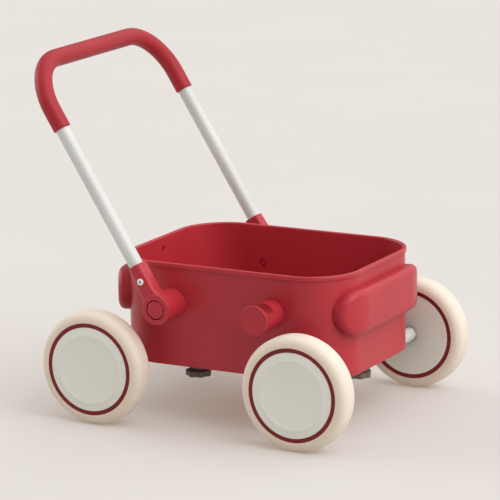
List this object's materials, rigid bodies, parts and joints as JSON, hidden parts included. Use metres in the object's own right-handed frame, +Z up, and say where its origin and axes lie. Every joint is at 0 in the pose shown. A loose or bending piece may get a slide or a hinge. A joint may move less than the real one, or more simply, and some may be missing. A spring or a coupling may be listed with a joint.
{
  "type": "toddler push wagon",
  "caption": "Toddler push wagon: a moulded tub on rolling wheels, with a push handle that folds forward into docking pegs.",
  "frame": {"origin": "on the floor, under the middle of the overall length and width", "axes": "+X forward, away from the handle; +Y to the wagon's left; +Z up"},
  "size_m": [0.4809, 0.3792, 0.4748],
  "materials": {
    "red_plastic": "satin moulded",
    "red_grip": "soft matte",
    "white_paint": "satin powder coat",
    "steel": "zinc plated",
    "brass": "turned",
    "dark_plastic": "fine grained",
    "white_plastic": "smooth",
    "cream_tyre": "smooth matte",
    "dark_red_plastic": "satin moulded",
    "pale_plastic": "satin moulded"
  },
  "bodies": {
    "body": {"bucket": "red_plastic", "front_bumper": "red_plastic", "rear_bumper": "red_plastic", "bumper_screws": "steel", "pivot_hub_left": "red_plastic", "pivot_hub_right": "red_plastic", "pivot_bolt_left": "steel", "pivot_bolt_right": "steel", "pivot_nut_left": "steel", "pivot_nut_right": "steel", "peg_left": "red_plastic", "peg_right": "red_plastic", "peg_screws": "steel", "front_axle_tube": "white_paint", "rear_axle_frame": "white_paint", "frame_arm_caps": "dark_plastic", "front_tube_plugs": "white_plastic", "rear_tube_plugs": "white_plastic", "front_axle_pins": "steel", "rear_axle_pins": "steel", "threaded_inserts": "brass", "wall_plug": "dark_plastic"},
    "handle": {"handle_tube": "white_paint", "handle_grip": "red_grip", "handle_arm_left": "red_plastic", "handle_arm_right": "red_plastic", "clamp_screw_left": "white_paint", "clamp_screw_right": "white_paint", "button_spring_left": "steel", "button_spring_right": "steel"},
    "button_left": {"release_button_left": "red_plastic"},
    "button_right": {"release_button_right": "red_plastic"},
    "wheel_front_left": {"tyre_front_left": "cream_tyre", "rim_front_left": "dark_red_plastic", "outer_cover_front_left": "pale_plastic", "inner_cover_front_left": "pale_plastic", "wheel_bush_front_left": "white_plastic"},
    "wheel_front_right": {"tyre_front_right": "cream_tyre", "rim_front_right": "dark_red_plastic", "outer_cover_front_right": "pale_plastic", "inner_cover_front_right": "pale_plastic", "wheel_bush_front_right": "white_plastic"},
    "wheel_rear_left": {"tyre_rear_left": "cream_tyre", "rim_rear_left": "dark_red_plastic", "outer_cover_rear_left": "pale_plastic", "inner_cover_rear_left": "pale_plastic", "wheel_bush_rear_left": "white_plastic"},
    "wheel_rear_right": {"tyre_rear_right": "cream_tyre", "rim_rear_right": "dark_red_plastic", "outer_cover_rear_right": "pale_plastic", "inner_cover_rear_right": "pale_plastic", "wheel_bush_rear_right": "white_plastic"},
    "front_stud": {"knob_stud_front": "steel"},
    "front_knob": {"star_knob_front": "dark_plastic"},
    "left_stud": {"knob_stud_left": "steel"},
    "left_knob": {"star_knob_left": "dark_plastic"},
    "right_stud": {"knob_stud_right": "steel"},
    "right_knob": {"star_knob_right": "dark_plastic"}
  },
  "joints": [
    {"name": "handle_fold", "type": "hinge", "parent": "body", "child": "handle", "pos_m": [-0.04005, 0, 0.16], "axis": [0, 1, 0], "range_deg": [0, 116.97]},
    {"name": "button_left_press", "type": "slide", "parent": "handle", "child": "button_left", "axis": [0, -1, 0], "range_m": [0, 0.003], "stiffness_N_per_m": 300, "springref_m": -0.002, "deforming": ["button_spring_left"]},
    {"name": "button_right_press", "type": "slide", "parent": "handle", "child": "button_right", "axis": [0, 1, 0], "range_m": [0, 0.003], "stiffness_N_per_m": 300, "springref_m": -0.002, "deforming": ["button_spring_right"]},
    {"name": "wheel_front_left_roll", "type": "hinge", "parent": "body", "child": "wheel_front_left", "pos_m": [0.16545, 0.1707, 0.075], "axis": [0, 1, 0], "continuous": true},
    {"name": "wheel_front_right_roll", "type": "hinge", "parent": "body", "child": "wheel_front_right", "pos_m": [0.16545, -0.1707, 0.075], "axis": [0, 1, 0], "continuous": true},
    {"name": "wheel_rear_left_roll", "type": "hinge", "parent": "body", "child": "wheel_rear_left", "pos_m": [-0.13155, 0.1707, 0.075], "axis": [0, 1, 0], "continuous": true},
    {"name": "wheel_rear_right_roll", "type": "hinge", "parent": "body", "child": "wheel_rear_right", "pos_m": [-0.13155, -0.1707, 0.075], "axis": [0, 1, 0], "continuous": true},
    {"name": "front_knob_lower", "type": "slide", "parent": "body", "child": "front_stud", "axis": [0, 0, -1], "range_m": [0, 0.003]},
    {"name": "front_knob_turn", "type": "hinge", "parent": "front_stud", "child": "front_knob", "pos_m": [0.16545, 0, 0.054], "axis": [0, 0, -1], "range_deg": [0, 1085]},
    {"name": "left_knob_lower", "type": "slide", "parent": "body", "child": "left_stud", "axis": [0, 0, -1], "range_m": [0, 0.003]},
    {"name": "left_knob_turn", "type": "hinge", "parent": "left_stud", "child": "left_knob", "pos_m": [-0.02755, 0.0825, 0.054], "axis": [0, 0, -1], "range_deg": [0, 1085]},
    {"name": "right_knob_lower", "type": "slide", "parent": "body", "child": "right_stud", "axis": [0, 0, -1], "range_m": [0, 0.003]},
    {"name": "right_knob_turn", "type": "hinge", "parent": "right_stud", "child": "right_knob", "pos_m": [-0.02755, -0.0825, 0.054], "axis": [0, 0, -1], "range_deg": [0, 1085]}
  ],
  "couplings": [
    {"joint": "front_knob_turn", "follows": "front_knob_lower", "rad_per_m": 6283.2},
    {"joint": "left_knob_turn", "follows": "left_knob_lower", "rad_per_m": 6283.2},
    {"joint": "right_knob_turn", "follows": "right_knob_lower", "rad_per_m": 6283.2}
  ]
}
